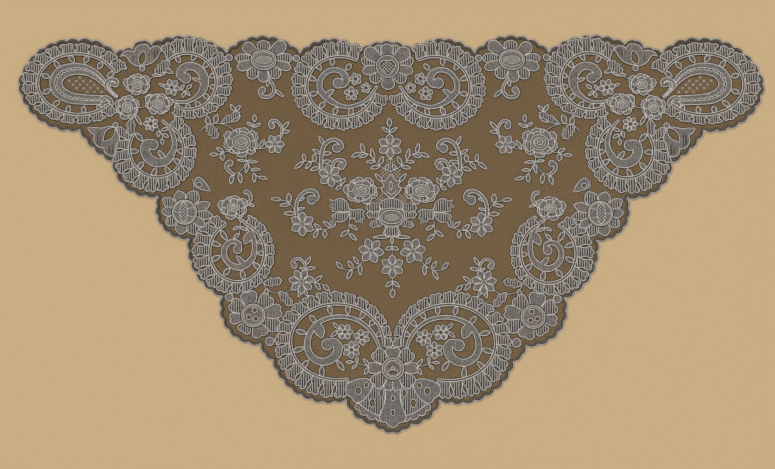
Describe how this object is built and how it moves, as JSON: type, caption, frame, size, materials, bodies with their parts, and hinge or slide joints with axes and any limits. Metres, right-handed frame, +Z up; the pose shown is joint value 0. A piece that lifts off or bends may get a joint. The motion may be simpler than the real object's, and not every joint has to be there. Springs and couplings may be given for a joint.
{
  "type": "mantilla",
  "caption": "Triangular lace mantilla laid flat: a scalloped net ground with ruffled rings, scrolls, flowers and sprays worked on it.",
  "frame": {"origin": "middle of the box on the flat underside", "axes": "+X along the long straight edge towards the right tip, +Y from the point to the straight edge, +Z up out of the cloth"},
  "size_m": [1.3904, 0.753, 0.002],
  "materials": {
    "net": "fine black net, matt, the surface under it shows through",
    "toile": "dense woven dark grey lace cloth with raised silvery outlines, soft sheen"
  },
  "bodies": {
    "root": {"bouquet": "toile", "bouquet_side_left": "toile", "bouquet_side_right": "toile", "corner_sprig_left": "toile", "corner_sprig_right": "toile", "edge_flower_d_left": "toile", "edge_flower_d_right": "toile", "edge_flower_f_left": "toile", "edge_flower_f_right": "toile", "joining_roses_left": "toile", "joining_roses_right": "toile", "lower_fan_left": "toile", "lower_fan_right": "toile", "lower_spray_left": "toile", "lower_spray_right": "toile", "lower_sprig": "toile", "net_ground": "net", "point_medallion": "toile", "ring_rose_left": "toile", "ring_rose_right": "toile", "rose_spray_left": "toile", "rose_spray_right": "toile", "ruffle_a_left": "toile", "ruffle_a_right": "toile", "ruffle_b_left": "toile", "ruffle_b_right": "toile", "ruffle_c_left": "toile", "ruffle_c_right": "toile", "ruffle_e_left": "toile", "ruffle_e_right": "toile", "ruffle_end_left": "toile", "ruffle_end_right": "toile", "ruffle_g_left": "toile", "ruffle_g_right": "toile", "scroll_sprig_left": "toile", "scroll_sprig_right": "toile", "shell_side_left": "toile", "shell_side_right": "toile", "shell_wedge": "toile", "top_flower_left": "toile", "top_flower_right": "toile", "top_medallion": "toile", "top_sprig": "toile", "upper_fan_left": "toile", "upper_fan_right": "toile", "volute_a_left": "toile", "volute_a_right": "toile", "volute_b_left": "toile", "volute_b_right": "toile", "volute_c_left": "toile", "volute_c_right": "toile", "volute_e_left": "toile", "volute_e_right": "toile", "volute_end_left": "toile", "volute_end_right": "toile", "volute_g_left": "toile", "volute_g_right": "toile"}
  },
  "joints": []
}
